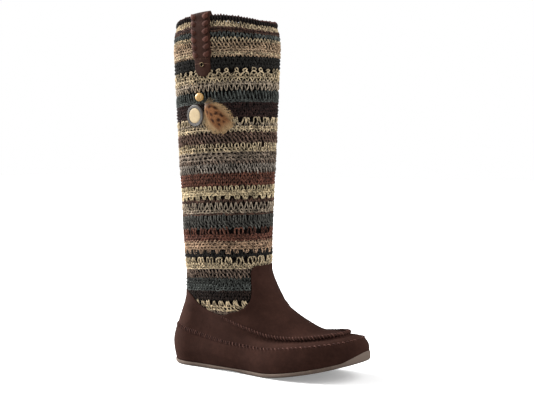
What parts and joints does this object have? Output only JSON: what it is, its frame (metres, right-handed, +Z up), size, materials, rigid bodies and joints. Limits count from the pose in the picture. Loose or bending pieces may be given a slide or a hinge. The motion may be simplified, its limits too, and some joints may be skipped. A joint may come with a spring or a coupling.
{
  "type": "sweater boot",
  "caption": "Right sweater boot: suede moccasin foot on a thin rubber sole, tall crocheted striped shaft, laced pull strap, and a bead, button and feather charm.",
  "frame": {"origin": "middle of the boot's box, on the floor", "axes": "+X from heel to toe, +Y to the inner side of the foot, +Z up from the floor to the collar"},
  "size_m": [0.2526, 0.1088, 0.4105],
  "materials": {
    "sole_rubber": "matte brown-grey rubber",
    "footbed": "plain fabric footbed",
    "suede": "dark brown suede",
    "wrap_suede": "dark brown suede",
    "seam_suede": "gathered suede seam",
    "yarn": "crocheted yarn in stripes of cream, taupe, rust, slate and black",
    "edging": "dark brown crocheted edging",
    "strap_leather": "brown leather with laced edges",
    "eyelet_brass": "aged brass",
    "bead_wood": "smooth pale wood",
    "button_grey": "grey horn-like disc with turned rings",
    "button_pale": "plain cream face",
    "feather_down": "soft barred feather, tan with dark brown marks"
  },
  "bodies": {
    "root": {"outsole": "sole_rubber", "insole": "footbed", "upper": "suede", "side_wrap": "wrap_suede", "apron_seam": "seam_suede", "shaft": "yarn", "collar_edge": "edging", "pull_strap": "strap_leather", "strap_eyelet": "eyelet_brass", "bead": "bead_wood", "button_ring": "button_grey", "button_inlay": "button_pale", "feather": "feather_down"}
  },
  "joints": []
}
